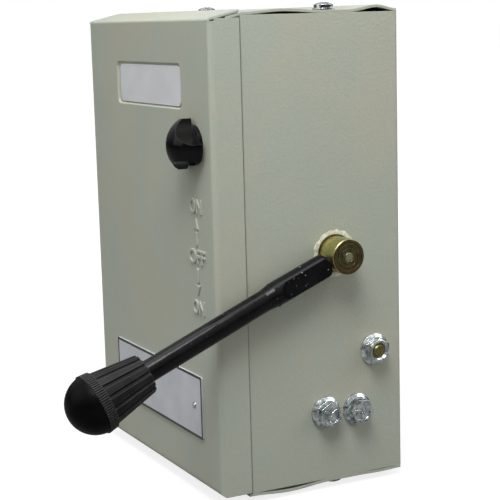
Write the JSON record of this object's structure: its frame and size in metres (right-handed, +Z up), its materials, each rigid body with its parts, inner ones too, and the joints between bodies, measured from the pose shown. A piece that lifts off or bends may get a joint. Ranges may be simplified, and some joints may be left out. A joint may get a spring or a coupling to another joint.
{
  "type": "changeover switch",
  "caption": "Wall-mounted steel changeover switch box with a hinged front cover, a side handle with a fluted grip, a lobed latch knob and double-throw contacts inside.",
  "frame": {"origin": "centre of the four wall screw holes, on the back face that lies on the wall", "axes": "+Z up, the front cover faces -Y, the handle is on the +X side"},
  "size_m": [0.169, 0.169, 0.221],
  "materials": {
    "paint": "grey-green powder paint with a fine orange-peel texture",
    "label_metal": "satin foil",
    "white_zinc": "bright zinc plating",
    "yellow_zinc": "yellow zinc plating",
    "plain_steel": "plain steel",
    "black_paint": "glossy black paint",
    "black_plastic": "black moulded plastic",
    "brown_moulding": "dark brown phenolic moulding",
    "barrier_board": "laminated board",
    "copper": "bright copper",
    "brass": "machined brass"
  },
  "bodies": {
    "enclosure": {"body_shell": "paint", "top_plate": "paint", "bottom_plate": "paint", "top_plate_screws": "white_zinc", "bottom_plate_screws": "white_zinc", "body_hinge_leaves": "paint", "hinge_pins": "white_zinc", "right_bearing": "plain_steel", "left_bearing": "plain_steel", "stop_plate": "plain_steel", "stop_spacer": "plain_steel", "stop_bolt": "yellow_zinc", "stop_bolt_nut": "white_zinc", "earth_bolts": "white_zinc", "earth_bar": "brass", "earth_nuts": "white_zinc", "base_rails": "paint", "insulating_base": "brown_moulding", "base_screws": "white_zinc", "arc_barrier": "barrier_board", "upper_contacts": "copper", "lower_contacts": "copper", "load_contacts": "copper", "contact_screws": "white_zinc", "terminal_blocks": "brass", "terminal_screws": "white_zinc"},
    "cover": {"front_cover": "paint", "badge_plate": "label_metal", "rating_plate": "label_metal", "rating_rivets": "white_zinc", "cover_hinge_leaves": "paint"},
    "latch": {"latch_knob": "black_plastic", "latch_spindle": "yellow_zinc", "latch_cam": "yellow_zinc", "latch_nut": "white_zinc"},
    "handle": {"hub_shaft": "yellow_zinc", "shaft_collar": "plain_steel", "collar_screw": "plain_steel", "friction_washer_ring": "plain_steel", "handle_rod": "black_paint", "grip_cone": "black_plastic", "grip_dome": "black_plastic", "lever": "plain_steel", "lever_pin_rod": "plain_steel", "rotor_bar": "brown_moulding", "rotor_spacers": "brown_moulding", "moving_blades": "copper"}
  },
  "joints": [
    {"name": "handle_swing", "type": "hinge", "parent": "enclosure", "child": "handle", "pos_m": [0, -0.035, -0.001], "axis": [-1, 0, 0], "range_deg": [0, 43]},
    {"name": "cover_swing", "type": "hinge", "parent": "enclosure", "child": "cover", "pos_m": [-0.0732, -0.0792, 0], "axis": [0, 0, -1], "range_deg": [0, 115]},
    {"name": "latch_turn", "type": "hinge", "parent": "cover", "child": "latch", "pos_m": [0.052, -0.095, 0.0505], "axis": [0, 1, 0], "range_deg": [0, 90]}
  ]
}
